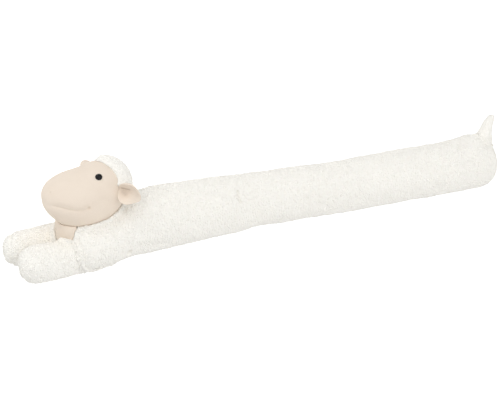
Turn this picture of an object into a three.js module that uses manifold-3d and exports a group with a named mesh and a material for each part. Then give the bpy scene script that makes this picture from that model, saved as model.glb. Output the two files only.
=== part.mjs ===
// A draught excluder in the shape of a lying sheep, made to close the gap under a door.
// A long stuffed fleece bolster carries two stuffed fleece legs, a stuffed cloth head on a short cloth
// neck, a fleece cap on the head, two cloth ears, two bead eyes and a small fleece tail.
// Millimetres, +Z up. The sheep lies along X with its nose towards -X, on the plane Z = 0.
// The near side is the -Y side.

import * as THREE from "three";
import { mergeVertices } from "three/addons/utils/BufferGeometryUtils.js";
import Module from "manifold-3d";

const wasm = await Module();
wasm.setup();

// Driving dimensions

const SEWN_GAP = 0.3; // between two pieces that are sewn to each other
const FLOOR_PRESS = 3; // how far the weight presses each tube flat on the floor
const WELD = 1e-4; // vertices closer than this are one

// Sections of the stuffed tubes, from the front end to the back end:
// x along the sheep, y of the middle, half the width, low and high from the widest level down and up.
const SECTION_COLUMNS = ["x", "y", "half", "low", "high"];
const BODY_SECTIONS = [
  [-331, -14, 82, 36, 53],
  [-300, -14, 79, 40, 51],
  [-270, -14, 74, 45, 49],
  [-240, -14, 68, 49, 50],
  [-205, -14, 60, 51, 53],
  [-165, -13, 57, 52, 55],
  [-110, -10, 55, 51, 54],
  [-45, -7, 53, 49, 52],
  [10, -4, 50, 47, 50],
  [85, -6, 49, 46, 49],
  [145, -9, 48, 45, 48],
  [205, -11, 49, 46, 48],
  [285, -14, 50, 47, 50],
  [350, -16, 51, 48, 50],
  [395, -16, 51, 48, 50],
  [435, -14, 51, 48, 51],
  [484, -13, 51, 47, 50],
];
const NEAR_LEG_SECTIONS = [
  [-419, -54, 32, 32, 31],
  [-392, -54, 32, 32, 32],
  [-355, -52, 31, 31, 31],
  [-300, -46, 27, 28, 27],
  [-262, -38, 24, 26, 24],
];
const FAR_LEG_SECTIONS = [
  [-428, 14, 30, 30, 28],
  [-402, 17, 30, 30, 28],
  [-362, 24, 29, 29, 29],
  [-300, 26, 28, 29, 28],
  [-255, 13, 24, 27, 24],
];

// The round of a tube's two ends: how far it reaches from the front and from the back,
// how blunt it is (2 is a half circle), and the facets round the tube and along it.
const BODY_ENDS = { front: 22, back: 40, blunt: 2.7, sides: 34, step: 18 };
const LEG_ENDS = { front: 32, back: 10, blunt: 2.4, sides: 24, step: 12 };
const ROUND_STEP = 5; // about how far apart the rings of a round end are
const ROUND_RINGS = 4; // the fewest that it has

// Soft folds and stuffing lumps of the bolster: x and angle of the middle (0 is the far side, 90 the top,
// 180 the near side, 270 the floor), rise out of the surface (negative for a trough),
// length along x and spread round the tube in degrees.
const FOLD_COLUMNS = ["x", "angle", "rise", "length", "spread"];
const BODY_FOLDS = [
  [-226, 212, -6, 12, 30],
  [-190, 195, -2.5, 26, 26],
  [-14, 178, -3, 12, 42],
  [8, 225, -3, 22, 30],
  [439, 95, 7.5, 15, 45],
  [457, 95, -3, 9, 40],
];

// Head: four stuffed balls drawn into one skin. Places are measured from the head's middle.
const HEAD_MIDDLE = new THREE.Vector3(-295, -14, 117);
const NOSE = { middle: new THREE.Vector3(-40, 0, 1), radii: new THREE.Vector3(27, 33, 27) };
const CHEEKS = { middle: new THREE.Vector3(-15.5, 0, -7), radii: new THREE.Vector3(41, 47, 43) };
const SKULL = { middle: new THREE.Vector3(28, 0, 8), radii: new THREE.Vector3(39.5, 45, 39.5) };
const JAW = { middle: new THREE.Vector3(11, 0, -18), radii: new THREE.Vector3(33, 37, 33) };
const HEAD_BLEND = 4.5; // lower draws the balls together more
const HEAD_DETAIL = 13;
const HEAD_SEARCH = { inside: 10, outside: 140, halvings: 24 }; // for the skin along one direction

// The smile: a soft crease round the muzzle, by its place along x and its height, both from the head's
// middle, and its depth.
const SMILE_COLUMNS = ["x", "height", "depth"];
const SMILE_LINE = [
  [-66, 3, 0.8],
  [-56, 1.5, 1.8],
  [-47, -0.5, 2.6],
  [-36, -4, 3.2],
  [-27, -6, 3.4],
  [-18, -6, 3.4],
  [-8, -4, 2.6],
  [2, -1, 0],
];
const SMILE_WIDTH = 4.5;
const FACE_TILT = { degrees: 5, about: -45 }; // of the smile, lower on the far side, and the near cheek's y

// Cap: a fleece pad over the back of the skull, behind a slanted hairline.
const HAIRLINE_SLANT = 28; // degrees that the pad's middle points above the tail
// The hairline's offset from the skull's middle, by the place across the head: it comes forward on the crown
// and in front of the ears.
const HAIRLINE_COLUMNS = ["y", "offset"];
const HAIRLINE = [
  [-44, 16],
  [-39, 20],
  [-33, 25],
  [-22, 27],
  [-8, 22.5],
  [2, 18.5],
  [12, 12.5],
  [24, 18],
  [40, 21],
];
const WOOL_DEPTH = 9;
// The wool is deeper at the back of the crown: the way there from the head's middle, how much deeper,
// and how quickly that fades away from it.
const CROWN = { toward: new THREE.Vector3(0.86, 0, 0.51), extra: 3.8, fade: 7 };
const WOOL_ROUND = 9; // over which the pad rises from its edge to its full depth
const WOOL_TUCK = 0.5; // how far the edge dips under the skin, as a part of that round

// Ears: cupped leaves. The root is measured from the skull's middle, along points to the tip,
// face is the way the hollow looks, arch is how far the middle of the length stands to one side,
// and cut names the column with the ear's widths.
const EARS = [
  {
    name: "ear_near",
    root: [13.6, -43, 10.8],
    along: [0.62, -0.63, -0.27],
    face: [-0.37, -0.82, -0.06],
    length: 43,
    arch: 5,
    cut: "near",
  },
  {
    name: "ear_far",
    root: [11, 38, 8.5],
    along: [-0.14, 0.95, 0.04],
    face: [-0.6, 0, -0.8],
    length: 48,
    arch: 0,
    cut: "far",
  },
];
const EAR_THICK = 4.5;
const EAR_RIM = 0.7; // lower makes the edge rounder and thicker
const EAR_POCKET = { part: 0.38, depth: 5, length: 0.3, spread: 0.6 }; // the deepest of the hollow
const EAR_LEAF = { sides: 18, rings: 14 };
// The flat width of each ear's leaf and the arc that both are cupped to, from the root to the tip.
const EAR_COLUMNS = ["part", "near", "far", "arc"];
const EAR_SHAPE = [
  [0, 32.5, 26, 230],
  [0.3, 50.5, 40, 190],
  [0.6, 48, 48, 140],
  [0.85, 32.5, 44, 100],
  [1, 29, 34, 80],
];

const EYE = { across: 12.2, proud: 4.4, sides: 16, rings: 10 };
const EYES = [
  { name: "eye_near", look: new THREE.Vector3(17.6, -32.2, 39.2) },
  { name: "eye_far", look: new THREE.Vector3(15, 42, 25) },
]; // the way to each eye from the head's middle

// Neck: a short stuffed barrel with straight sides under the chin, seen between the two legs.
const NECK = { middle: new THREE.Vector3(-320, -13, 58), deep: 24, half: 42, tall: 60, sides: 28 };
const NECK_SIDES = 0.3; // 1 is a ball, lower makes the sides straighter

// Tail: a small soft cone on the top of the rump, by its radius and the height above its root.
const TAIL_ROOT = new THREE.Vector3(465, -14, 91);
const TAIL_COLUMNS = ["radius", "height"];
const TAIL_PROFILE = [
  [0, -14],
  [14, -12],
  [17, 0],
  [14, 9],
  [11.4, 19],
  [9.6, 29],
  [8.2, 36],
  [5, 41],
  [0, 43],
];
const TAIL_SIDES = 20;
const TAIL_FLAT = 0.8; // front to back against side to side
const TAIL_LEAN = 15; // how far the tip stands behind the root

// Looks of the pieces

const FLEECE = new THREE.MeshStandardMaterial({ color: "#f3f0e6", roughness: 1, metalness: 0 });
const FACE_CLOTH = new THREE.MeshStandardMaterial({ color: "#e0cfba", roughness: 0.9, metalness: 0 });
const BEAD = new THREE.MeshStandardMaterial({ color: "#15120f", roughness: 0.2, metalness: 0 });

// Helpers

const { clamp, degToRad, euclideanModulo, radToDeg } = THREE.MathUtils;

// The rows of a table, with a name for each column.
function named(columns, rows) {
  return rows.map((row) => Object.fromEntries(columns.map((column, i) => [column, row[i]])));
}

function toSolid(geometry) {
  const bare = geometry.clone();
  bare.deleteAttribute("normal");
  bare.deleteAttribute("uv");
  const merged = mergeVertices(bare, WELD);
  return new wasm.Manifold(
    new wasm.Mesh({
      numProp: 3,
      vertProperties: new Float32Array(merged.attributes.position.array),
      triVerts: new Uint32Array(merged.index.array),
    }),
  );
}

function toGeometry(solid) {
  const mesh = solid.getMesh();
  const geometry = new THREE.BufferGeometry();
  geometry.setAttribute("position", new THREE.BufferAttribute(mesh.vertProperties, 3));
  geometry.setIndex(new THREE.BufferAttribute(mesh.triVerts, 1));
  geometry.computeVertexNormals();
  return geometry;
}

// A table as smooth functions of its first column: returns a row by name for any place.
function smoothTable(columns, rows) {
  const places = rows.map((row) => row[0]);
  const names = columns.slice(1);
  const values = rows.flatMap((row) => row.slice(1));
  const curve = new THREE.CubicInterpolant(places, values, names.length, new Float64Array(names.length));
  return (place) => {
    const found = curve.evaluate(clamp(place, places[0], places.at(-1)));
    return Object.fromEntries(names.map((name, i) => [name, found[i]]));
  };
}

// Moves every vertex of a geometry to the place that a function gives for it.
function reshape(geometry, place) {
  const { position, uv } = geometry.attributes;
  const from = new THREE.Vector3();
  for (let i = 0; i < position.count; i += 1) {
    from.fromBufferAttribute(position, i);
    const to = place(from, uv.getX(i), uv.getY(i));
    position.setXYZ(i, to.x, to.y, to.z);
  }
  return geometry;
}

// Stuffed tubes

// Distances of a tube's rings from its front end: close together over the round ends.
function ringPlaces(length, ends) {
  const round = (reach) => {
    const count = Math.max(ROUND_RINGS, Math.round(reach / ROUND_STEP));
    return Array.from({ length: count }, (_, i) => reach * (1 - Math.cos((i / count) * (Math.PI / 2))));
  };
  const middle = length - ends.front - ends.back;
  const steps = Math.round(middle / ends.step);
  const straight = Array.from({ length: steps + 1 }, (_, i) => ends.front + (middle * i) / steps);
  return [...round(ends.front), ...straight, ...round(ends.back).reverse().map((d) => length - d)];
}

// How full a tube is at a distance from one end: nothing at the end, 1 past the round.
function fullness(distance, reach, blunt) {
  const short = 1 - clamp(distance / reach, 0, 1);
  return Math.max(0, 1 - short ** blunt) ** (1 / blunt);
}

// The rise of all the folds at one point of the bolster.
function foldRise(folds, x, degrees) {
  return folds.reduce((sum, fold) => {
    const turn = euclideanModulo(degrees - fold.angle + 180, 360) - 180;
    return sum + fold.rise * Math.exp(-(((x - fold.x) / fold.length) ** 2) - (turn / fold.spread) ** 2);
  }, 0);
}

// A stuffed tube lying on the floor: the rings of a sphere, each moved to its own section.
function stuffedTube(rows, ends, folds, grow) {
  const front = rows[0][0] - grow;
  const length = rows.at(-1)[0] + grow - front;
  const sectionAt = smoothTable(SECTION_COLUMNS, rows);
  const places = ringPlaces(length, ends);
  const last = places.length - 1;
  return reshape(new THREE.SphereGeometry(1, ends.sides, last), (from, u, v) => {
    const ring = Math.round((1 - v) * last);
    const angle = (1 - u) * 2 * Math.PI;
    const x = front + places[ring];
    const { y, half, low, high } = sectionAt(x);
    const full =
      fullness(places[ring], ends.front, ends.blunt) * fullness(length - places[ring], ends.back, ends.blunt);
    const out = ring === 0 || ring === last ? 0 : grow + foldRise(folds, x, radToDeg(angle)) * full;
    const rise = Math.sin(angle);
    const z = low - FLOOR_PRESS + ((rise > 0 ? high : low) * full + out) * rise;
    return { x, y: y + (half * full + out) * Math.cos(angle), z: Math.max(z, -grow) };
  });
}

// Head and cap

// The depth of the smile crease at a point of the head.
const smileAt = smoothTable(SMILE_COLUMNS, SMILE_LINE);
function smileDepth(point) {
  const { height, depth } = smileAt(point.x);
  const sunk = (point.y - FACE_TILT.about) * Math.tan(degToRad(FACE_TILT.degrees));
  return depth * Math.exp(-(((point.z - height + sunk) / SMILE_WIDTH) ** 2));
}

// How far the skin lies from the head's middle in one direction.
function headRadius(direction) {
  const point = new THREE.Vector3();
  const pull = (radius) =>
    [NOSE, CHEEKS, SKULL, JAW].reduce((sum, { middle, radii }) => {
      const reach = point.copy(direction).multiplyScalar(radius).sub(middle).divide(radii).length();
      return sum + reach ** -HEAD_BLEND;
    }, 0);
  let { inside, outside } = HEAD_SEARCH;
  for (let i = 0; i < HEAD_SEARCH.halvings; i += 1) {
    const middle = (inside + outside) / 2;
    if (pull(middle) > 1) inside = middle;
    else outside = middle;
  }
  return inside - smileDepth(point.copy(direction).multiplyScalar(inside));
}

// How deep the wool of the cap stands at a point of the head: nothing at the hairline.
const hairlineAt = smoothTable(HAIRLINE_COLUMNS, HAIRLINE);
function woolDepth(point) {
  const slant = degToRad(HAIRLINE_SLANT);
  const from = point.clone().sub(SKULL.middle);
  const behind = from.x * Math.cos(slant) + from.z * Math.sin(slant) - hairlineAt(from.y).offset;
  const part = clamp(behind / WOOL_ROUND, -WOOL_TUCK, 1);
  const crown = Math.max(0, Math.cos(point.angleTo(CROWN.toward))) ** CROWN.fade;
  return (WOOL_DEPTH + CROWN.extra * crown) * part * (2 - Math.max(part, 0));
}

// The head's skin, or with wool the cap's outside, moved out by a little where a neighbour is cut.
function headForm(grow, withWool = false) {
  return reshape(new THREE.IcosahedronGeometry(1, HEAD_DETAIL), (from) => {
    const direction = from.normalize();
    const skin = headRadius(direction);
    const wool = withWool ? woolDepth(direction.clone().multiplyScalar(skin)) : 0;
    return direction.clone().multiplyScalar(skin + wool + grow).add(HEAD_MIDDLE);
  });
}

// Ears, eyes, neck and tail

const skullMiddle = HEAD_MIDDLE.clone().add(SKULL.middle);
const earAt = smoothTable(EAR_COLUMNS, EAR_SHAPE);

// One cupped ear: a flat leaf with a round rim, bent across into an arc.
function earForm({ root, along, face, length, arch, cut }) {
  const tipward = new THREE.Vector3(...along).normalize();
  const across = new THREE.Vector3().crossVectors(new THREE.Vector3(...face), tipward).normalize();
  const hollow = new THREE.Vector3().crossVectors(tipward, across);
  const start = skullMiddle.clone().add(new THREE.Vector3(...root));
  const leaf = new THREE.SphereGeometry(1, EAR_LEAF.sides, EAR_LEAF.rings);
  return reshape(leaf, (from) => {
    const part = (1 + from.y) / 2;
    const { [cut]: width, arc } = earAt(part);
    const radius = width / degToRad(arc);
    const bend = (from.x * degToRad(arc)) / 2;
    const level = radius + (Math.sign(from.z) * Math.abs(from.z) ** EAR_RIM * EAR_THICK) / 2;
    const inward = (part - EAR_POCKET.part) / EAR_POCKET.length;
    const pocket = EAR_POCKET.depth * Math.exp(-(inward ** 2) - (from.x / EAR_POCKET.spread) ** 2);
    return start
      .clone()
      .addScaledVector(tipward, length * part)
      .addScaledVector(across, level * Math.sin(bend) + arch * Math.sin(Math.PI * part))
      .addScaledVector(hollow, radius - level * Math.cos(bend) - pocket);
  });
}

// One bead eye, partly sunk in the skin.
function eyeForm(look) {
  const outward = look.clone().normalize();
  const away = headRadius(outward) + EYE.proud - EYE.across / 2;
  const middle = HEAD_MIDDLE.clone().addScaledVector(outward, away);
  const bead = new THREE.SphereGeometry(EYE.across / 2, EYE.sides, EYE.rings);
  return bead.translate(middle.x, middle.y, middle.z);
}

// The neck, a ball drawn out to its three sizes, with its sides made straighter.
function neckForm() {
  return reshape(new THREE.SphereGeometry(1, NECK.sides, NECK.sides / 2), (from) => {
    const level = Math.hypot(from.x, from.z);
    const wide = level > WELD ? level ** (NECK_SIDES - 1) : 0;
    const upright = from.clone().set(from.x * wide, -from.z * wide, from.y);
    return upright.multiply(new THREE.Vector3(NECK.deep, NECK.half, NECK.tall / 2)).add(NECK.middle);
  });
}

// The tail, with its tip leaning back.
function tailForm() {
  const profile = named(TAIL_COLUMNS, TAIL_PROFILE);
  const tip = profile.at(-1).height;
  const lathe = new THREE.LatheGeometry(
    profile.map(({ radius, height }) => new THREE.Vector2(radius, height)),
    TAIL_SIDES,
  );
  return reshape(lathe, (from) => {
    const lean = TAIL_LEAN * (from.y / tip) ** 2;
    return new THREE.Vector3(-from.x * TAIL_FLAT + lean, from.z, from.y).add(TAIL_ROOT);
  });
}

// Pieces, each cut back by the neighbours that it is sewn to

const head = toSolid(headForm(0));
const headRoom = toSolid(headForm(SEWN_GAP));
const cap = toSolid(headForm(0, true)).subtract(headRoom);
const capRoom = toSolid(headForm(SEWN_GAP, true));
const folds = named(FOLD_COLUMNS, BODY_FOLDS);
const bodyForm = (grow) => toSolid(stuffedTube(BODY_SECTIONS, BODY_ENDS, folds, grow));
const body = bodyForm(0).subtract(headRoom).subtract(capRoom);
const bodyRoom = bodyForm(SEWN_GAP);
const legForms = (grow) =>
  [NEAR_LEG_SECTIONS, FAR_LEG_SECTIONS].map((rows) => toSolid(stuffedTube(rows, LEG_ENDS, [], grow)));
const [nearLeg, farLeg] = legForms(0).map((leg) => leg.subtract(bodyRoom).subtract(headRoom));
const neckRooms = [headRoom, bodyRoom, ...legForms(SEWN_GAP)];
const neck = neckRooms.reduce((solid, room) => solid.subtract(room), toSolid(neckForm()));
const ears = EARS.map((ear) => toSolid(earForm(ear)).subtract(headRoom).subtract(capRoom));
const eyes = EYES.map((eye) => toSolid(eyeForm(eye.look)).subtract(headRoom));
const tail = toSolid(tailForm()).subtract(bodyRoom);

const sheep = new THREE.Group();

function addPiece(name, solid, material) {
  const mesh = new THREE.Mesh(toGeometry(solid), material);
  mesh.name = name;
  sheep.add(mesh);
}

addPiece("body", body, FLEECE);
addPiece("leg_near", nearLeg, FLEECE);
addPiece("leg_far", farLeg, FLEECE);
addPiece("neck", neck, FACE_CLOTH);
addPiece("head", head, FACE_CLOTH);
addPiece("cap", cap, FLEECE);
EARS.forEach((ear, i) => addPiece(ear.name, ears[i], FACE_CLOTH));
EYES.forEach((eye, i) => addPiece(eye.name, eyes[i], BEAD));
addPiece("tail", tail, FLEECE);

// The origin is under the middle of the sheep, on the floor.
const middle = new THREE.Box3().setFromObject(sheep).getCenter(new THREE.Vector3());
sheep.position.set(-middle.x, -middle.y, 0);

export default sheep;
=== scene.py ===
"""Dresses the sheep-shaped draught excluder: fleece skin, face cloth, bead eyes and a plain studio."""
import logging
import math
from dataclasses import dataclass, field, replace
from enum import Enum

import bmesh
import bpy
import numpy as np
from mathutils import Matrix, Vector, noise
from mathutils.bvhtree import BVHTree


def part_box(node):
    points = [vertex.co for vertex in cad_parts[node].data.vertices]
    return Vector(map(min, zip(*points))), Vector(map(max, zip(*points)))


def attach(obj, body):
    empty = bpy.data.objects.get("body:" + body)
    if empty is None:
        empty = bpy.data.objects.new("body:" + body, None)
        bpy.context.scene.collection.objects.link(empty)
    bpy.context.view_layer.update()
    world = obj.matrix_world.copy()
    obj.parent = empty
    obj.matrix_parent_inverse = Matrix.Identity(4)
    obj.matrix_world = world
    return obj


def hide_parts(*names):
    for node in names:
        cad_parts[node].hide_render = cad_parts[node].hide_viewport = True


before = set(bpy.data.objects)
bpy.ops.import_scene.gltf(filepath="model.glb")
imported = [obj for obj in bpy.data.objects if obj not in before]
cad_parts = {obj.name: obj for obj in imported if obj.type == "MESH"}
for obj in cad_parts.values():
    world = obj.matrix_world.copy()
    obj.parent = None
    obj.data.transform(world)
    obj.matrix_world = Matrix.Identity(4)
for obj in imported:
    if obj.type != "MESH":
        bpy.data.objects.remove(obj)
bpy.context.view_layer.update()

log = logging.getLogger("draught_excluder")

MM = 0.001
BODY = "root"
HEAD_MIDDLE = np.array((-0.323, -0.0027, 0.117))
FLOOR_CLEARANCE = 0.1 * MM
TINT = "tint"
# Painted shade: a value from 0 to 1 kept at each point, which darkens the colour along creases, hollows and
# spots where shade falls.
PAINTED_SHADE = "fold"
SEAM = "seam"
FLEECE_NODES = ("body", "leg_near", "leg_far", "cap", "tail")
BARE_NODES = ("head", "neck", "ear_near", "ear_far", "eye_near", "eye_far")

Row = tuple[float, ...]


class Slot(Enum):
    """Names of the material slots."""

    FLEECE = "fleece"
    FACE_CLOTH = "face_cloth"
    EYE_BEAD = "eye_bead"


class Side(Enum):
    """The side of the head that a paired piece sits on, as the sign of its y."""

    NEAR = -1
    FAR = 1


class TreeMaker:
    """Adds nodes and links to one node tree."""

    def __init__(self, tree: bpy.types.NodeTree) -> None:
        """Keeps the tree that the nodes go into."""
        self.tree = tree

    @staticmethod
    def socket(sockets: bpy.types.bpy_prop_collection, key: str | int) -> bpy.types.NodeSocket:
        """Finds a socket by its place, its identifier or its name.

        Args:
            sockets: A node's inputs or outputs.
            key: The socket's place, identifier or name.

        Returns:
            The socket.
        """
        if isinstance(key, int):
            return sockets[key]
        for candidate in sockets:
            if candidate.identifier == key:
                return candidate
        return sockets[key]

    def add(self, kind: str, inputs: dict | None = None, **options: object) -> bpy.types.Node:
        """Adds one node with its options and inputs.

        Args:
            kind: Blender's name for the kind of node.
            inputs: A value or an output socket for each input that isn't left alone.
            **options: The node's own settings.

        Returns:
            The new node.
        """
        node = self.tree.nodes.new(kind)
        for name, value in options.items():
            setattr(node, name, value)
        for key, value in (inputs or {}).items():
            target = self.socket(node.inputs, key)
            for source in value if isinstance(value, list) else [value]:
                if isinstance(source, bpy.types.NodeSocket):
                    self.tree.links.new(source, target)
                else:
                    target.default_value = source
        return node

    def out(self, kind: str, inputs: dict | None = None, output: str | int = 0,
            **options: object) -> bpy.types.NodeSocket:
        """Adds one node and gives one of its outputs.

        Args:
            kind: Blender's name for the kind of node.
            inputs: A value or an output socket for each input that isn't left alone.
            output: The output that is wanted.
            **options: The node's own settings.

        Returns:
            The output socket.
        """
        return self.socket(self.add(kind, inputs, **options).outputs, output)

    def math(self, operation: str, *values: object) -> bpy.types.NodeSocket:
        """Adds a sum of two or three values and gives its result."""
        return self.out("ShaderNodeMath", dict(enumerate(values)), operation=operation)


def new_material(name: str,
                 settings: dict[str, object]) -> tuple[TreeMaker, bpy.types.Node, bpy.types.Material]:
    """Starts a node material around one Principled shader.

    Args:
        name: The material's name.
        settings: The shader's inputs that are the same all over the surface.

    Returns:
        The tree's maker, the shader node and the material.
    """
    material = bpy.data.materials.new(name)
    material.use_nodes = True
    shader = material.node_tree.nodes["Principled BSDF"]
    for key, value in settings.items():
        shader.inputs[key].default_value = value
    return TreeMaker(material.node_tree), shader, material


@dataclass(frozen=True)
class FleeceFinish:
    """Cream wool fleece, each curl a little lighter or darker than its neighbours.

    It is painted darker along creases and in the pinch, as painted shade.
    """

    name: str = "wool_fleece"
    # Painted shade colour, towards which the ramp runs along creases and in the pinch.
    painted_shade_colour: Row = (0.6, 0.54, 0.46, 1.0)
    shade: Row = (0.95, 0.925, 0.868, 1.0)
    light: Row = (0.99, 0.975, 0.93, 1.0)
    clump_scale: float = 110.0
    clump_stretch: Row = (1.5, 0.7, 0.7)
    # How far up the ramp the painted shade reaches.
    painted_shade_reach: float = 0.3
    fibre_scale: float = 1000.0
    fibre_depth: float = 0.5 * MM
    fibre_strength: float = 0.8

    def material(self) -> bpy.types.Material:
        """Builds the fleece's material.

        Returns:
            The material, which reads the tint kept on each curl and the painted shade kept on the skin.
        """
        constants = {"Roughness": 0.95, "Specular IOR Level": 0.15, "Sheen Weight": 0.35,
                     "Sheen Roughness": 0.45, "Sheen Tint": (1.0, 0.98, 0.94, 1.0)}
        maker, shader, material = new_material(self.name, constants)
        place = maker.out("ShaderNodeTexCoord", output="Object")
        tint = maker.out("ShaderNodeAttribute", output="Fac", attribute_name=TINT)
        drawn = maker.out("ShaderNodeVectorMath", {0: place, 1: self.clump_stretch}, operation="MULTIPLY")
        clump = maker.out("ShaderNodeTexNoise", {"Vector": drawn, "Scale": self.clump_scale, "Detail": 2.0})
        shade = maker.math("MULTIPLY", maker.math("ADD", tint, clump), 0.5 * (1.0 - self.painted_shade_reach))
        # Painted shade: the kept value pulls the ramp down towards the dark colour along creases and in the
        # pinch.
        fold = maker.out("ShaderNodeAttribute", output="Fac", attribute_name=PAINTED_SHADE)
        painted_shade_offset = maker.math("MULTIPLY_ADD", fold, -1.0, self.painted_shade_reach)
        ramp = maker.add("ShaderNodeValToRGB", {"Fac": maker.math("ADD", shade, painted_shade_offset)})
        ramp.color_ramp.elements[0].color = self.painted_shade_colour
        ramp.color_ramp.elements[1].color = self.light
        ramp.color_ramp.elements.new(self.painted_shade_reach).color = self.shade
        fibre = maker.out("ShaderNodeTexNoise", {"Vector": place, "Scale": self.fibre_scale, "Detail": 2.0})
        bump = maker.out("ShaderNodeBump", {"Height": fibre, "Strength": self.fibre_strength,
                                            "Distance": self.fibre_depth})
        maker.tree.links.new(ramp.outputs["Color"], shader.inputs["Base Color"])
        maker.tree.links.new(bump, shader.inputs["Normal"])
        return material


@dataclass(frozen=True)
class ClothFinish:
    """Beige brushed plain weave of the face, ears and neck, painted darker along creases, hollows and spots
    as painted shade.
    """

    name: str = "brushed_face_cloth"
    # Painted shade colour for creases, hollows and spots.
    fold: Row = (0.3, 0.22, 0.16, 1.0)
    shade: Row = (0.8, 0.69, 0.58, 1.0)
    light: Row = (0.91, 0.81, 0.7, 1.0)
    # Where the painted shade colour sits on the ramp.
    painted_shade_stop: float = 0.15
    shade_stop: float = 0.6
    light_stop: float = 0.9
    # How strongly the kept painted shade darkens the tone.
    painted_shade_strength: float = 0.7
    weave_share: float = 0.12
    nap_share: float = 0.48
    blotch_share: float = 0.4
    blotch_scale: float = 30.0
    thread_pitch: float = 0.9 * MM
    nap_scale: float = 1400.0
    relief: float = 0.18 * MM
    relief_strength: float = 0.5
    weave_relief: float = 0.3

    def weave(self, maker: TreeMaker, place: bpy.types.NodeSocket) -> bpy.types.NodeSocket:
        """Sums fine waves along the three axes, so that the weave shows from every side.

        Args:
            maker: The material's tree maker.
            place: The point on the surface.

        Returns:
            The weave's height.
        """
        wave_scale = math.pi / (10.0 * self.thread_pitch)
        height = None
        for axis in "XYZ":
            inputs = {"Vector": place, "Scale": wave_scale, "Distortion": 1.2, "Detail": 1.0}
            wave = maker.out("ShaderNodeTexWave", inputs, output="Fac", bands_direction=axis)
            height = wave if height is None else maker.math("ADD", height, wave)
        return maker.math("MULTIPLY", height, 1.0 / 3.0)

    def material(self) -> bpy.types.Material:
        """Builds the face cloth's material.

        Returns:
            The material.
        """
        constants = {"Roughness": 0.9, "Specular IOR Level": 0.2, "Sheen Weight": 0.3,
                     "Sheen Roughness": 0.4, "Sheen Tint": (1.0, 0.95, 0.88, 1.0)}
        maker, shader, material = new_material(self.name, constants)
        place = maker.out("ShaderNodeTexCoord", output="Object")
        weave = self.weave(maker, place)
        nap = maker.out("ShaderNodeTexNoise", {"Vector": place, "Scale": self.nap_scale, "Detail": 2.0})
        blotch = maker.out("ShaderNodeTexNoise",
                           {"Vector": place, "Scale": self.blotch_scale, "Detail": 3.0})
        fine = maker.math("ADD", maker.math("MULTIPLY", weave, self.weave_share),
                          maker.math("MULTIPLY", nap, self.nap_share))
        # Painted shade: the tone, blotches included, is pulled down towards the dark colour where creases,
        # hollows and spots would be in shade.
        fold = maker.out("ShaderNodeAttribute", output="Fac", attribute_name=PAINTED_SHADE)
        darkened = maker.math("SUBTRACT", maker.math("MULTIPLY", blotch, self.blotch_share),
                            maker.math("MULTIPLY", fold, self.painted_shade_strength))
        tone = maker.math("ADD", fine, darkened)
        ramp = maker.add("ShaderNodeValToRGB", {"Fac": maker.math("MULTIPLY_ADD", tone, 0.5, 0.5)})
        stops = ((self.painted_shade_stop, self.fold), (self.shade_stop, self.shade), (self.light_stop, self.light))
        for position, colour in stops:
            ramp.color_ramp.elements.new(position).color = colour
        ramp.color_ramp.elements.remove(ramp.color_ramp.elements[0])
        ramp.color_ramp.elements.remove(ramp.color_ramp.elements[-1])
        height = maker.math("ADD", maker.math("MULTIPLY", weave, self.weave_relief), nap)
        bump = maker.out("ShaderNodeBump", {"Height": height, "Strength": self.relief_strength,
                                            "Distance": self.relief})
        maker.tree.links.new(ramp.outputs["Color"], shader.inputs["Base Color"])
        maker.tree.links.new(bump, shader.inputs["Normal"])
        return material


@dataclass(frozen=True)
class BeadFinish:
    """Polished black plastic of the eye beads, with faint handling marks."""

    name: str = "black_bead"
    colour: Row = (0.008, 0.008, 0.009, 1.0)
    smooth: float = 0.14
    rubbed: float = 0.26
    mark_scale: float = 700.0

    def material(self) -> bpy.types.Material:
        """Builds the bead's material.

        Returns:
            The material.
        """
        constants = {"Base Color": self.colour, "Specular IOR Level": 0.2}
        maker, shader, material = new_material(self.name, constants)
        place = maker.out("ShaderNodeTexCoord", output="Object")
        marks = maker.out("ShaderNodeTexNoise", {"Vector": place, "Scale": self.mark_scale, "Detail": 3.0})
        rough = maker.out("ShaderNodeMapRange",
                          {"Value": marks, "To Min": self.smooth, "To Max": self.rubbed})
        maker.tree.links.new(rough, shader.inputs["Roughness"])
        return material


@dataclass(frozen=True)
class FloorFinish:
    """Matt white studio floor, lit a little from within as a light table is."""

    name: str = "studio_floor"
    colour: Row = (0.93, 0.93, 0.93, 1.0)
    glow: float = 0.6

    def material(self) -> bpy.types.Material:
        """Builds the floor's material.

        Returns:
            The material.
        """
        constants = {"Base Color": self.colour, "Roughness": 1.0, "Specular IOR Level": 0.0,
                     "Emission Color": (1.0, 1.0, 1.0, 1.0), "Emission Strength": self.glow}
        return new_material(self.name, constants)[2]


@dataclass
class Finishes:
    """The materials that the pieces share."""

    fleece: bpy.types.Material
    cloth: bpy.types.Material
    bead: bpy.types.Material


def points_of(mesh: bpy.types.Mesh) -> np.ndarray:
    """Gives a mesh's points as rows of x, y and z."""
    flat = np.empty(len(mesh.vertices) * 3)
    mesh.vertices.foreach_get("co", flat)
    return flat.reshape(-1, 3)


def normals_of(mesh: bpy.types.Mesh) -> np.ndarray:
    """Gives the outward direction at each of a mesh's points."""
    flat = np.empty(len(mesh.vertices) * 3)
    mesh.vertices.foreach_get("normal", flat)
    return flat.reshape(-1, 3)


def move_points(mesh: bpy.types.Mesh, points: np.ndarray) -> None:
    """Puts a mesh's points in new places."""
    mesh.vertices.foreach_set("co", points.ravel())
    mesh.update()


def settle(mesh: bpy.types.Mesh) -> None:
    """Lifts the points that lie under the floor just above it."""
    points = points_of(mesh)
    points[:, 2] = np.maximum(points[:, 2], FLOOR_CLEARANCE)
    move_points(mesh, points)


def store(mesh: bpy.types.Mesh, name: str, values: np.ndarray) -> None:
    """Keeps a value from 0 to 1 at each of a mesh's points, for its material to read."""
    layer = mesh.attributes.new(name, "FLOAT", "POINT")
    layer.data.foreach_set("value", values.astype(np.float32))


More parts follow.
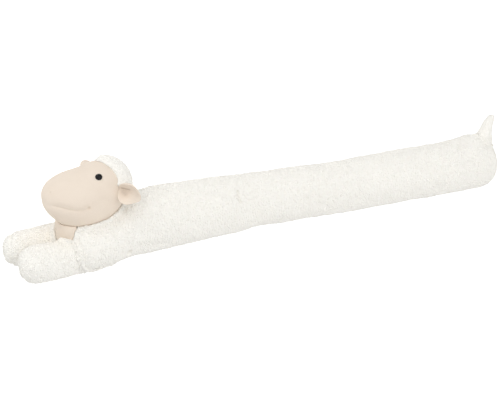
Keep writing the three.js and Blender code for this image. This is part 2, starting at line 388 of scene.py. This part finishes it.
def link(name: str, mesh: bpy.types.Mesh) -> bpy.types.Object:
    """Puts a mesh into the scene as a new object at the origin."""
    piece = bpy.data.objects.new(name, mesh)
    bpy.context.scene.collection.objects.link(piece)
    return piece


def bake_modifiers(piece: bpy.types.Object) -> None:
    """Turns a piece's modifiers into a plain mesh and removes them."""
    depsgraph = bpy.context.evaluated_depsgraph_get()
    mesh = bpy.data.meshes.new_from_object(piece.evaluated_get(depsgraph), preserve_all_data_layers=True,
                                           depsgraph=depsgraph)
    old = piece.data
    piece.modifiers.clear()
    piece.data = mesh
    bpy.data.meshes.remove(old)


def shade_smooth(mesh: bpy.types.Mesh) -> None:
    """Shades every face of a mesh smoothly."""
    mesh.polygons.foreach_set("use_smooth", np.ones(len(mesh.polygons), dtype=bool))


def copy_of_node(node: str, name: str) -> bpy.types.Object:
    """Copies a CAD node's mesh into a new object and merges its loose triangles.

    Args:
        node: The CAD node's name.
        name: The new object's name.

    Returns:
        The new object.
    """
    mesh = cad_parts[node].data.copy()
    mesh.materials.clear()
    work = bmesh.new()
    work.from_mesh(mesh)
    bmesh.ops.remove_doubles(work, verts=work.verts, dist=0.01 * MM)
    work.to_mesh(mesh)
    work.free()
    return link(name, mesh)


def cloth_and_beads() -> bpy.types.Object:
    """Joins copies of the CAD nodes that aren't fleece, which the pile keeps clear of.

    Returns:
        The helper, which the caller deletes.
    """
    work = bmesh.new()
    for node in BARE_NODES:
        work.from_mesh(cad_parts[node].data)
    mesh = bpy.data.meshes.new("cloth_and_beads")
    work.to_mesh(mesh)
    work.free()
    return link("cloth_and_beads", mesh)


def neighbours_of(node: str, names: tuple[str, ...]) -> BVHTree:
    """Gathers the surfaces of other CAD nodes, to measure distances to them.

    Args:
        node: The node that is left out.
        names: The nodes to gather.

    Returns:
        The surfaces as one search tree.
    """
    points: list[Vector] = []
    faces: list[tuple[int, ...]] = []
    for name in names:
        if name != node:
            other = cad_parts[name]
            start = len(points)
            points.extend(vertex.co for vertex in other.data.vertices)
            faces.extend(tuple(start + i for i in face.vertices) for face in other.data.polygons)
    return BVHTree.FromPolygons(points, faces)


def discard(helper: bpy.types.Object) -> None:
    """Deletes a helper object with its mesh."""
    mesh = helper.data
    bpy.data.objects.remove(helper)
    bpy.data.meshes.remove(mesh)


def distance_to_path(points: np.ndarray, path: np.ndarray) -> np.ndarray:
    """Measures how far points lie from a line through several places.

    Args:
        points: The points, a row each.
        path: The line's places in order, a row each.

    Returns:
        The distance of each point.
    """
    nearest = np.linalg.norm(points - path[0], axis=1)
    for start, end in zip(path, path[1:]):
        along = end - start
        share = np.clip((points - start) @ along / (along @ along), 0.0, 1.0)
        nearest = np.minimum(nearest, np.linalg.norm(points - start - share[:, None] * along, axis=1))
    return nearest


@dataclass(frozen=True)
class Crease:
    """A soft trough along a line on a skin, or a ridge where its depth is negative.

    Its colour is painted darker along it by some share, as painted shade; on fleece the knots are also left
    off where that share is high, so the pile opens there.
    """

    path: tuple[Row, ...]
    depth: float
    width: float
    # How much darker the colour is painted at the middle of the line, as painted shade.
    darkened: float = 0.0

    def share(self, points: np.ndarray) -> np.ndarray:
        """Gives how near points lie to the trough's middle, from 0 to 1."""
        return np.exp(-(distance_to_path(points, np.array(self.path) * MM) / self.width) ** 2)

    def laid_on(self, points: np.ndarray, steps: int = 6) -> "Crease":
        """Lays the line on a skin, each place at the nearest of the skin's points.

        Args:
            points: The skin's points.
            steps: The places on each stretch of the line.

        Returns:
            The same crease with its line on the skin.
        """
        path = np.array(self.path) * MM
        places = [path[0]]
        for start, end in zip(path, path[1:]):
            places.extend(start + (end - start) * step / steps for step in range(1, steps + 1))
        nearest = [int(np.argmin(np.linalg.norm(points - place, axis=1))) for place in places]
        return replace(self, path=tuple(tuple(points[number] / MM) for number in dict.fromkeys(nearest)))

    def press(self, points: np.ndarray, normals: np.ndarray) -> np.ndarray:
        """Presses the trough into points.

        Args:
            points: The skin's points.
            normals: The outward direction at each point.

        Returns:
            The moved points.
        """
        return points - normals * (self.depth * self.share(points))[:, None]


@dataclass
class Skin:
    """A filled cloth skin worked up from a CAD solid of the same form."""

    node: str
    voxel: float
    inset: float = 1.0 * MM
    even: int = 6
    pressure: float = 4.0
    swell: float = 2.0 * MM
    frames: int = 20
    lump: float = 0.0
    lump_size: float = 45.0 * MM
    clump: float = 0.0
    clump_size: float = 10.0 * MM
    levels: int = 1
    fill: float = 0.85
    sewn: bool = True
    seam_reach: float = 8.0 * MM
    seam_gap: float = 0.0
    facing: float = 0.2

    def remesh(self) -> bpy.types.Object:
        """Copies the solid, evens out its mesh and draws it in by the inset.

        Returns:
            The skin's object.
        """
        piece = copy_of_node(self.node, f"{self.node}_skin")
        remesh = piece.modifiers.new("even cells", "REMESH")
        remesh.mode = "VOXEL"
        remesh.voxel_size = self.voxel
        smooth = piece.modifiers.new("even faces", "SMOOTH")
        smooth.factor = 0.5
        smooth.iterations = self.even
        bake_modifiers(piece)
        mesh = piece.data
        move_points(mesh, points_of(mesh) - normals_of(mesh) * self.inset)
        return piece

    def stuff(self, piece: bpy.types.Object) -> None:
        """Blows the skin up from inside as a filling does, within the allowed swell.

        Args:
            piece: The skin's object.
        """
        if self.swell <= 0.0:
            return
        before = points_of(piece.data)
        cloth = piece.modifiers.new("filling", "CLOTH")
        cloth.settings.use_pressure = True
        cloth.settings.uniform_pressure_force = self.pressure
        cloth.settings.effector_weights.gravity = 0.0
        cloth.settings.quality = 4
        cloth.collision_settings.use_collision = False
        for number in range(1, self.frames + 1):
            bpy.context.scene.frame_set(number)
        bake_modifiers(piece)
        bpy.context.scene.frame_set(1)
        move = points_of(piece.data) - before
        length = np.linalg.norm(move, axis=1, keepdims=True)
        move *= np.minimum(1.0, self.swell / np.maximum(length, 1e-9))
        move_points(piece.data, before + move)

    def refine(self, piece: bpy.types.Object) -> None:
        """Divides the skin's cells and works uneven filling into them.

        Args:
            piece: The skin's object.
        """
        if self.levels > 0:
            divide = piece.modifiers.new("finer cells", "SUBSURF")
            divide.levels = self.levels
            divide.render_levels = self.levels
            bake_modifiers(piece)
        mesh = piece.data
        shade_smooth(mesh)
        points = points_of(mesh)
        normals = normals_of(mesh)
        for height, size in ((self.lump, self.lump_size), (self.clump, self.clump_size)):
            if height > 0.0:
                rise = [noise.noise(Vector(point / size)) for point in points]
                points += normals * (height * np.array(rise))[:, None]
        move_points(mesh, points)

    def press_to_neighbours(self, piece: bpy.types.Object) -> None:
        """Presses the skin against the pieces that it is sewn to, so that no slot shows between them.

        Args:
            piece: The skin's object.
        """
        surfaces = neighbours_of(self.node, tuple(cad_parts))
        points = points_of(piece.data)
        normals = normals_of(piece.data)
        push = np.zeros(len(points))
        for number, (point, normal) in enumerate(zip(points, normals)):
            nearest, _, _, distance = surfaces.find_nearest(Vector(point), self.seam_reach)
            if nearest is None:
                continue
            if (nearest - Vector(point)).dot(Vector(normal)) > self.facing * distance:
                fade = min(1.0, 2.0 - 2.0 * distance / self.seam_reach)
                push[number] = max(0.0, distance - self.seam_gap) * fade
        move_points(piece.data, points + normals * push[:, None])

    def build(self) -> bpy.types.Object:
        """Makes the filled skin.

        Returns:
            The skin's object, without finish.
        """
        piece = self.remesh()
        self.stuff(piece)
        self.refine(piece)
        if self.sewn:
            self.press_to_neighbours(piece)
        settle(piece.data)
        return piece

    def register(self, piece: bpy.types.Object, slot: Slot, finish: bpy.types.Material) -> None:
        """Gives the skin its finish and its place in the frame.

        Args:
            piece: The skin's object.
            slot: The material slot; not used.
            finish: The material.
        """
        piece.data.materials.clear()
        piece.data.materials.append(finish)
        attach(piece, BODY)
        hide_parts(self.node)
        log.info("%s: %d faces", piece.name, len(piece.data.polygons))


class PileTree:
    """Geometry Nodes that stand short wool knots and curls on a skin."""

    KNOTS: tuple[Row, ...] = ((1.0, 0.85, 0.7), (1.35, 0.75, 0.65))
    CURLS: tuple[Row, ...] = ((0.75, 0.6, 1.0),)
    STEPS_A_TURN = 5
    YARN_SIDES = 5
    CROWDING = 2.2
    PARTING = 0.3
    SEAM_GROWTH = 0.7
    LEAST_SIZE = 0.8
    GREATEST_SIZE = 1.25
    LEAST_TINT = 0.3

    INPUTS: tuple[tuple[str, str], ...] = (
        ("Skin", "NodeSocketGeometry"), ("Neighbours", "NodeSocketObject"),
        ("Clearance", "NodeSocketFloat"), ("Spacing", "NodeSocketFloat"),
        ("Knot Radius", "NodeSocketFloat"), ("Curl Radius", "NodeSocketFloat"),
        ("Yarn Radius", "NodeSocketFloat"), ("Rise", "NodeSocketFloat"),
        ("Sink", "NodeSocketFloat"), ("Lean", "NodeSocketFloat"),
        ("From", "NodeSocketFloat"), ("To", "NodeSocketFloat"),
        ("Seed", "NodeSocketInt"), ("Material", "NodeSocketMaterial"))

    def __init__(self) -> None:
        """Builds the tree once, for every fleece piece."""
        self.tree = bpy.data.node_groups.new("wool_pile", "GeometryNodeTree")
        self.keys: dict[str, str] = {}
        for name, kind in self.INPUTS:
            made = self.tree.interface.new_socket(name, in_out="INPUT", socket_type=kind)
            self.keys[name] = made.identifier
        self.tree.interface.new_socket("Pile", in_out="OUTPUT", socket_type="NodeSocketGeometry")
        self.maker = TreeMaker(self.tree)
        self.given = self.tree.nodes.new("NodeGroupInput").outputs
        self.finish(self.place(self.roots()))

    def random(self, kind: str, low: object, high: object, seed: int) -> bpy.types.NodeSocket:
        """Adds a seeded random value for each curl.

        Args:
            kind: The data type of the value.
            low: The least value.
            high: The greatest value.
            seed: What sets this value apart from the others.

        Returns:
            The value's socket.
        """
        ending = {"FLOAT_VECTOR": "", "FLOAT": "_001", "INT": "_002"}[kind]
        shifted = self.maker.math("ADD", self.given["Seed"], float(seed))
        inputs = {f"Min{ending}": low, f"Max{ending}": high, "Seed": shifted}
        return self.maker.out("FunctionNodeRandomValue", inputs, output=f"Value{ending}", data_type=kind)

    def kept_value(self, name: str) -> bpy.types.NodeSocket:
        """Reads a value that is kept at each of the skin's points."""
        return self.maker.out("GeometryNodeInputNamedAttribute", {"Name": name}, output="Attribute",
                              data_type="FLOAT")

    def roots(self) -> tuple[bpy.types.NodeSocket, bpy.types.NodeSocket]:
        """Scatters the curls' roots, away from what presses on the skin and from where the painted shade is
        deep, so that the pile opens there.

        Returns:
            The points and their rotations.
        """
        make, given = self.maker, self.given
        square = make.math("MULTIPLY", given["Spacing"], given["Spacing"])
        inputs = {"Mesh": given["Skin"], "Distance Min": given["Spacing"],
                  "Density Max": make.math("DIVIDE", self.CROWDING, square), "Seed": given["Seed"]}
        scatter = make.add("GeometryNodeDistributePointsOnFaces", inputs, distribute_method="POISSON")
        across = make.out("ShaderNodeSeparateXYZ", {0: make.out("GeometryNodeInputPosition")}, output="X")
        before = make.math("LESS_THAN", across, given["From"])
        inside = make.math("LESS_THAN", across, given["To"])
        beyond = make.math("SUBTRACT", 1.0, inside)
        pressing = make.out("GeometryNodeObjectInfo", {"Object": given["Neighbours"]}, output="Geometry")
        nearest = make.out("GeometryNodeProximity", {0: pressing}, output="Distance",
                           target_element="FACES")
        pressed = make.math("LESS_THAN", nearest, given["Clearance"])
        # Knots are left off where the painted shade passes a threshold, so the darker skin under them
        # shows.
        fold = self.kept_value(PAINTED_SHADE)
        darkened = make.math("GREATER_THAN", fold, self.PARTING)
        dropped = make.math("ADD", make.math("ADD", before, beyond), make.math("ADD", pressed, darkened))
        kept = make.out("GeometryNodeDeleteGeometry",
                        {"Geometry": scatter.outputs["Points"], "Selection": dropped}, domain="POINT")
        return kept, scatter.outputs["Rotation"]

    def kinds(self) -> bpy.types.NodeSocket:
        """Builds the few kinds of tuft: round knots of wool, and coils of yarn that wind up to their tip.

        Returns:
            The tufts as instances to pick from.
        """
        make, given = self.maker, self.given
        profile = make.out("GeometryNodeCurvePrimitiveCircle",
                           {"Resolution": self.YARN_SIDES, "Radius": given["Yarn Radius"]})
        sunk = make.out("ShaderNodeCombineXYZ", {"Z": make.math("MULTIPLY", given["Sink"], -1.0)})
        kinds = []
        for size in self.KNOTS:
            ball = make.out("GeometryNodeMeshIcoSphere",
                            {"Radius": given["Knot Radius"], "Subdivisions": 1})
            knot = make.out("GeometryNodeTransform",
                            {"Geometry": ball, "Translation": sunk, "Scale": size})
            kinds.append(make.out("GeometryNodeGeometryToInstance", {0: knot}))
        for turns, taper, height in self.CURLS:
            coil = make.out("GeometryNodeCurveSpiral",
                            {"Resolution": self.STEPS_A_TURN, "Rotations": turns,
                             "Start Radius": given["Curl Radius"],
                             "End Radius": make.math("MULTIPLY", given["Curl Radius"], taper),
                             "Height": make.math("MULTIPLY", given["Rise"], height)})
            yarn = make.out("GeometryNodeCurveToMesh",
                            {"Curve": coil, "Profile Curve": profile, "Fill Caps": True})
            seated = make.out("GeometryNodeTransform", {"Geometry": yarn, "Translation": sunk})
            kinds.append(make.out("GeometryNodeGeometryToInstance", {0: seated}))
        return make.out("GeometryNodeJoinGeometry", {0: kinds})

    def place(self, roots: tuple[bpy.types.NodeSocket, bpy.types.NodeSocket]) -> bpy.types.NodeSocket:
        """Sets a turned and leaning curl on each root, larger near a seam between two fleece pieces.

        Args:
            roots: The points and their rotations.

        Returns:
            The curls as tinted instances.
        """
        make, given = self.maker, self.given
        points, upright = roots
        lean = given["Lean"]
        back = make.math("MULTIPLY", lean, -1.0)
        least = make.out("ShaderNodeCombineXYZ", {"X": back, "Y": back, "Z": -math.pi})
        most = make.out("ShaderNodeCombineXYZ", {"X": lean, "Y": lean, "Z": math.pi})
        turn = make.out("FunctionNodeEulerToRotation", {0: self.random("FLOAT_VECTOR", least, most, 1)})
        rotation = make.out("FunctionNodeRotateRotation", {"Rotation": upright, "Rotate By": turn},
                            rotation_space="LOCAL")
        growth = make.math("MULTIPLY_ADD", self.kept_value(SEAM), self.SEAM_GROWTH, 1.0)
        kind = self.random("INT", 0, len(self.KNOTS) + len(self.CURLS) - 1, 2)
        size = self.random("FLOAT", self.LEAST_SIZE, self.GREATEST_SIZE, 3)
        inputs = {"Points": points, "Instance": self.kinds(), "Pick Instance": True, "Instance Index": kind,
                  "Rotation": rotation, "Scale": make.math("MULTIPLY", size, growth)}
        curls = make.out("GeometryNodeInstanceOnPoints", inputs)
        tint = self.random("FLOAT", self.LEAST_TINT, 1.0, 4)
        return make.out("GeometryNodeStoreNamedAttribute", {"Geometry": curls, "Name": TINT, "Value": tint},
                        data_type="FLOAT", domain="INSTANCE")

    def finish(self, curls: bpy.types.NodeSocket) -> None:
        """Realizes the curls, shades them smoothly and gives them their material.

        Args:
            curls: The curls as instances.
        """
        make = self.maker
        real = make.out("GeometryNodeRealizeInstances", {"Geometry": curls})
        smooth = make.out("GeometryNodeSetShadeSmooth", {"Geometry": real})
        dressed = make.out("GeometryNodeSetMaterial",
                           {"Geometry": smooth, "Material": self.given["Material"]})
        make.add("NodeGroupOutput", {0: dressed})


@dataclass
class Pile:
    """The sizes of the tufts on one fleece piece."""

    tree: PileTree
    spacing: float = 3.1 * MM
    knot: float = 2.6 * MM
    curl: float = 1.7 * MM
    yarn: float = 1.35 * MM
    rise: float = 0.7 * MM
    sink: float = 0.9 * MM
    lean: float = math.radians(25)
    clearance: float = 0.2 * MM
    seed: int = 11

    def grow(self, skin: bpy.types.Object, node: str, finish: bpy.types.Material, bands: int = 1) -> None:
        """Grows the pile on a skin, in bands along its length.

        Args:
            skin: The fleece skin.
            node: The CAD node that the skin replaces.
            finish: The fleece material.
            bands: How many separate pieces the pile is split into.
        """
        helper = cloth_and_beads()
        low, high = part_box(node)
        edges = np.linspace(low.x, high.x, bands + 1)
        edges[0] -= self.spacing
        edges[-1] += self.spacing
        for number in range(bands):
            name = f"{node}_pile_{number + 1}" if bands > 1 else f"{node}_pile"
            piece = link(name, skin.data.copy())
            modifier = piece.modifiers.new("pile", "NODES")
            modifier.node_group = self.tree.tree
            values = {"Neighbours": helper, "Clearance": self.clearance, "Spacing": self.spacing,
                      "Knot Radius": self.knot, "Curl Radius": self.curl, "Yarn Radius": self.yarn,
                      "Rise": self.rise, "Sink": self.sink, "Lean": self.lean, "From": float(edges[number]),
                      "To": float(edges[number + 1]), "Seed": self.seed, "Material": finish}
            for key, value in values.items():
                modifier[self.tree.keys[key]] = value
            bake_modifiers(piece)
            settle(piece.data)
            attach(piece, BODY)
            log.info("%s: %d faces", name, len(piece.data.polygons))
        discard(helper)


@dataclass
class FleecePiece:
    """A filled fleece skin with its pile."""

    skin: Skin
    pile: Pile
    creases: tuple[Crease, ...] = ()
    bands: int = 1
    ground_tint: float = 0.85
    seam_width: float = 7.0 * MM

    def seam_share(self, points: np.ndarray) -> np.ndarray:
        """Gives how near points lie to another fleece piece, from 0 to 1.

        Args:
            points: The skin's points.

        Returns:
            The share of each point.
        """
        surfaces = neighbours_of(self.skin.node, FLEECE_NODES)
        share = np.zeros(len(points))
        for number, point in enumerate(points):
            distance = surfaces.find_nearest(Vector(point), self.seam_width)[3]
            if distance is not None:
                share[number] = 1.0 - distance / self.seam_width
        return share

    def build(self, finishes: Finishes) -> None:
        """Builds and dresses the piece.

        Args:
            finishes: The shared materials.
        """
        piece = self.skin.build()
        mesh = piece.data
        # Painted shade: how much darker each skin point is painted along the creases.
        darkened = np.zeros(len(mesh.vertices))
        store(mesh, SEAM, self.seam_share(points_of(mesh)))
        for crease in self.creases:
            points = points_of(mesh)
            if crease.darkened > 0.0:
                crease = crease.laid_on(points)
            darkened = np.maximum(darkened, crease.darkened * crease.share(points))
            move_points(mesh, crease.press(points, normals_of(mesh)))
        store(mesh, PAINTED_SHADE, darkened)
        store(mesh, TINT, np.full(len(mesh.vertices), self.ground_tint))
        self.skin.register(piece, Slot.FLEECE, finishes.fleece)
        self.pile.grow(piece, self.skin.node, finishes.fleece, self.bands)


@dataclass
class Fleece:
    """The fleece pieces: long body, two front legs, cap and tail."""

    tree: PileTree = field(default_factory=PileTree)
    body_bands: int = 4
    # The pinch and the middle crease are pressed in and painted darker, as painted shade in the hole and
    # along the line; the dent beside the pinch is pressed in only.
    pinch: Crease = Crease(((-268, -64, 20), (-266, -63, 18)), 9.0 * MM, 3.6 * MM, 1.0)
    pinch_fold: Crease = Crease(((-268, -65, 30), (-252, -58, 29), (-234, -54, 27), (-204, -49, 21)),
                                3.0 * MM, 9.0 * MM)
    middle_crease: Crease = Crease(((-67, -28, 86), (-67, -36, 79), (-66, -41, 70)),
                                   4.0 * MM, 2.6 * MM, 0.52)
    paw_middle: Row = (27.0, 28.0)
    paw_radius: float = 23.3
    paw_end: float = -440.6
    paw_slant: float = 0.36
    paw_turn: float = 25.8
    paw_places: int = 37

    def paw_seam(self) -> Crease:
        """Gives the seam that closes the far leg's end.

        Returns:
            The seam as a ring round the paw.
        """
        ring = []
        across, up = self.paw_middle
        for angle in np.linspace(0.0, 2.0 * math.pi, self.paw_places):
            y = across + self.paw_radius * math.cos(angle)
            z = up + self.paw_radius * math.sin(angle)
            ring.append((self.paw_end + self.paw_slant * (y - self.paw_turn), y, z))
        return Crease(tuple(ring), 3.5 * MM, 2.5 * MM)

    def build(self, finishes: Finishes) -> None:
        """Builds and dresses the fleece pieces.

        Args:
            finishes: The shared materials.
        """
        pile = Pile(self.tree)
        fine = Pile(self.tree, spacing=2.9 * MM, knot=2.3 * MM, curl=1.4 * MM, yarn=1.1 * MM, seed=23)
        body = Skin("body", voxel=4.5 * MM, inset=2.0 * MM, swell=1.2 * MM, lump=1.2 * MM, even=4,
                    clump=0.7 * MM)
        near, far = (Skin(node, voxel=3.0 * MM, inset=1.4 * MM, swell=0.8 * MM, lump=0.8 * MM,
                          lump_size=28.0 * MM, even=3, seam_gap=-1.2 * MM, clump=0.6 * MM)
                     for node in ("leg_near", "leg_far"))
        cap = Skin("cap", voxel=1.4 * MM, inset=0.6 * MM, swell=0.0, even=2, levels=0, fill=0.4)
        tail = Skin("tail", voxel=1.6 * MM, inset=-0.6 * MM, swell=0.0, even=7, levels=0, fill=0.5)
        folds = (self.pinch, self.pinch_fold, self.middle_crease)
        FleecePiece(body, pile, folds, self.body_bands).build(finishes)
        FleecePiece(near, pile).build(finishes)
        FleecePiece(far, pile, (self.paw_seam(),)).build(finishes)
        FleecePiece(cap, fine).build(finishes)
        FleecePiece(tail, fine).build(finishes)


@dataclass
class Face:
    """The cloth head with its smile, nostrils, neck and ears."""

    smile: tuple[Row, ...] = ((-66, 3.0, 0.0), (-56, 1.5, 0.7), (-47, -0.5, 0.9), (-36, -4.0, 1.0),
                              (-27, -6.0, 0.9), (-18, -6.0, 0.8), (-8, -4.0, 1.1), (-5, -3.0, 0.0))
    smile_width: float = 1.7 * MM
    # How much darker the smile's line is painted at its deepest, as painted shade under the upper lip.
    smile_darkened: float = 0.2
    tilt: float = math.tan(math.radians(5.0))
    near_cheek: float = -45.0 * MM
    nostril: Row = (-59.3, 17.0, 19.0)
    mouth_corner: Row = (-7.5, 48.6, -3.6)
    # The near ear's slot under the upper flap, the flap's ridge, the hollow and the spot by the root; all
    # but the ridge are painted darker, as painted shadow under the flap and painted shade in the hollow and
    # by the root.
    ear_folds: tuple[Crease, ...] = (
        Crease(((-276.0, -50.0, 136.3), (-272.5, -52.5, 136.0), (-269.3, -55.1, 135.8),
                (-265.9, -58.9, 135.8)), 1.5 * MM, 1.1 * MM, 0.9),
        Crease(((-274.0, -51.0, 138.8), (-269.5, -54.6, 138.5), (-265.0, -59.2, 138.3)),
               -1.2 * MM, 2.0 * MM),
        Crease(((-275.5, -52.5, 132.0), (-272.0, -56.5, 129.0)), 2.0 * MM, 7.0 * MM, 0.7),
        Crease(((-280.0, -47.0, 137.3), (-279.3, -48.0, 133.5)), 0.8 * MM, 2.0 * MM, 0.8))
    # The cheek fold is pressed in and painted a little darker, as painted shade below the lit cheek.
    cheek_fold: Crease = Crease(((-327.0, -52.0, 112.5), (-318.0, -52.0, 119.0), (-308.0, -51.5, 122.0),
                                 (-300.0, -51.5, 121.0)), 1.2 * MM, 5.0 * MM, 0.06)

    def smile_depth(self, points: np.ndarray) -> np.ndarray:
        """Gives how deep the smile is drawn in along both cheeks.

        Args:
            points: The head's points.

        Returns:
            The depth at each point.
        """
        along, height, depth = np.array(self.smile).T * MM
        local = points - HEAD_MIDDLE
        middle = np.interp(local[:, 0], along, height) - (local[:, 1] - self.near_cheek) * self.tilt
        deep = np.interp(local[:, 0], along, depth, left=0.0, right=0.0)
        return deep * np.exp(-((local[:, 2] - middle) / self.smile_width) ** 2)

    def spots(self) -> tuple[Crease, ...]:
        """Gives the drawn-in nostrils and mouth corners of both sides, painted darker in their dimples as
        painted shade.

        Returns:
            The spots as creases of one place each.
        """
        # Each row: place, depth, width and how much darker the middle is painted, as painted shade.
        rows = ((self.nostril, 1.0, 1.7, 0.35), (self.mouth_corner, 1.4, 1.8, 0.4))
        found = []
        for side in Side:
            for (x, y, z), depth, width, darkened in rows:
                place = HEAD_MIDDLE / MM + np.array((x, y * side.value, z))
                found.append(Crease((tuple(place),), depth * MM, width * MM, darkened))
        return tuple(found)

    @staticmethod
    def fold_in(mesh: bpy.types.Mesh, creases: tuple[Crease, ...], darkened: np.ndarray) -> None:
        """Presses creases into a mesh and keeps how far its colour is painted darker along them, as painted
        shade.

        Args:
            mesh: The cloth's mesh.
            creases: The creases.
            darkened: How far the colour is already painted darker at each point, as painted shade.
        """
        for crease in creases:
            points = points_of(mesh)
            darkened = np.maximum(darkened, crease.darkened * crease.share(points))
            move_points(mesh, crease.press(points, normals_of(mesh)))
        store(mesh, PAINTED_SHADE, darkened)

    def build_head(self, finishes: Finishes) -> None:
        """Builds and dresses the head.

        Args:
            finishes: The shared materials.
        """
        skin = Skin("head", voxel=1.8 * MM, inset=0.0, swell=0.5 * MM, even=3, levels=1, fill=0.9,
                    lump=0.3 * MM, lump_size=24 * MM, sewn=False)
        piece = skin.build()
        mesh = piece.data
        points = points_of(mesh)
        trough = self.smile_depth(points)
        move_points(mesh, points - normals_of(mesh) * trough[:, None])
        # The smile, nostrils, mouth corners and cheek fold are pressed in and painted darker, as painted
        # shade.
        folds = (*self.spots(), self.cheek_fold)
        self.fold_in(mesh, folds, self.smile_darkened * trough / max(trough.max(), 1e-9))
        skin.register(piece, Slot.FACE_CLOTH, finishes.cloth)

    def build(self, finishes: Finishes) -> None:
        """Builds and dresses the head, neck and ears.

        Args:
            finishes: The shared materials.
        """
        self.build_head(finishes)
        for node, voxel, fill, creases in (("neck", 1.8, 0.6, ()), ("ear_near", 1.0, 0.3, self.ear_folds),
                                           ("ear_far", 1.0, 0.3, ())):
            skin = Skin(node, voxel=voxel * MM, inset=0.0, swell=0.0, even=3, fill=fill, sewn=False)
            piece = skin.build()
            self.fold_in(piece.data, creases, np.zeros(len(piece.data.vertices)))
            skin.register(piece, Slot.FACE_CLOTH, finishes.cloth)


@dataclass
class BeadEyes:
    """The two black beads."""

    nodes: tuple[str, ...] = ("eye_near", "eye_far")
    levels: int = 2

    def build(self, finishes: Finishes) -> None:
        """Builds and dresses the eyes.

        Args:
            finishes: The shared materials.
        """
        for node in self.nodes:
            piece = copy_of_node(node, f"{node}_bead")
            divide = piece.modifiers.new("rounder", "SUBSURF")
            divide.levels = self.levels
            divide.render_levels = self.levels
            bake_modifiers(piece)
            shade_smooth(piece.data)
            piece.data.materials.append(finishes.bead)
            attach(piece, BODY)
            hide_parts(node)
            log.info("%s: %d faces", piece.name, len(piece.data.polygons))


@dataclass
class Studio:
    """Camera, soft lights and pale floor."""

    azimuth: float = math.radians(-24.0)
    elevation: float = math.radians(24.5)
    distance: float = 2.03
    target: Row = (-0.028, 0.0113, 0.045)
    lens: float = 84.96
    floor_size: float = 30.0
    far_clip: float = 100.0
    sky: float = 0.55
    ground: float = 0.81
    horizon: float = 0.3
    lights: tuple[tuple[str, float, float, float, float, float], ...] = (
        ("front", -5.0, 35.0, 2.5, 1.4, 17.4),
        ("low", 40.0, 12.0, 2.5, 0.9, 4.1),
        ("side", -110.0, 20.0, 2.5, 1.4, 6.2),
        ("high", -98.0, 54.0, 2.5, 1.4, 11.2),
        ("back", 165.0, 38.0, 2.5, 1.4, 6.5))

    def towards(self, azimuth: float, elevation: float) -> Vector:
        """Gives the direction from the target to a place round it."""
        level = math.cos(elevation)
        return Vector((math.sin(azimuth) * level, -math.cos(azimuth) * level, math.sin(elevation)))

    def aim(self, item: bpy.types.Object, away: Vector, distance: float) -> None:
        """Places a camera or a light and turns it to the target.

        Args:
            item: The camera's or light's object.
            away: The direction from the target.
            distance: How far it stands from the target.
        """
        item.location = Vector(self.target) + away * distance
        item.rotation_euler = (-away).to_track_quat("-Z", "Y").to_euler()
        bpy.context.scene.collection.objects.link(item)

    def build_camera(self) -> None:
        """Sets the camera at the photograph's angle."""
        data = bpy.data.cameras.new("camera")
        data.lens = self.lens
        data.clip_end = self.far_clip
        camera = bpy.data.objects.new("camera", data)
        self.aim(camera, self.towards(self.azimuth, self.elevation), self.distance)
        bpy.context.scene.camera = camera

    def build_lights(self) -> None:
        """Sets the soft lights round the object and an even sky."""
        for name, azimuth, elevation, distance, size, power in self.lights:
            data = bpy.data.lights.new(name, "AREA")
            data.shape = "DISK"
            data.size = size
            data.energy = power
            lamp = bpy.data.objects.new(name, data)
            self.aim(lamp, self.towards(math.radians(azimuth), math.radians(elevation)), distance)
        world = bpy.data.worlds.new("soft_sky")
        world.use_nodes = True
        maker = TreeMaker(world.node_tree)
        place = maker.out("ShaderNodeTexCoord", output="Object")
        height = maker.out("ShaderNodeSeparateXYZ", {0: place}, output="Z")
        strength = maker.out("ShaderNodeMapRange",
                             {"Value": height, "From Min": -self.horizon, "From Max": self.horizon,
                              "To Min": self.ground, "To Max": self.sky})
        background = world.node_tree.nodes["Background"]
        background.inputs["Color"].default_value = (1.0, 1.0, 1.0, 1.0)
        maker.tree.links.new(strength, background.inputs["Strength"])
        bpy.context.scene.world = world
        bpy.context.scene.view_settings.view_transform = "Standard"

    def build_floor(self) -> None:
        """Lays the pale floor under the object. Light from below comes through it, as on a light table."""
        half = self.floor_size / 2
        corners = [(-half, -half, 0.0), (half, -half, 0.0), (half, half, 0.0), (-half, half, 0.0)]
        mesh = bpy.data.meshes.new("floor")
        mesh.from_pydata(corners, [], [(0, 1, 2, 3)])
        mesh.materials.append(FloorFinish().material())
        floor = link("floor", mesh)
        floor.visible_diffuse = False
        floor.visible_shadow = False

    def build(self) -> None:
        """Builds the camera, lights and floor."""
        self.build_camera()
        self.build_lights()
        self.build_floor()


def main() -> None:
    """Builds the pieces in order and reports each one."""
    logging.basicConfig(level=logging.INFO, format="%(name)s %(message)s")
    finishes = Finishes(FleeceFinish().material(), ClothFinish().material(), BeadFinish().material())
    Studio().build()
    Fleece().build(finishes)
    Face().build(finishes)
    BeadEyes().build(finishes)


if __name__ == "__main__":
    main()
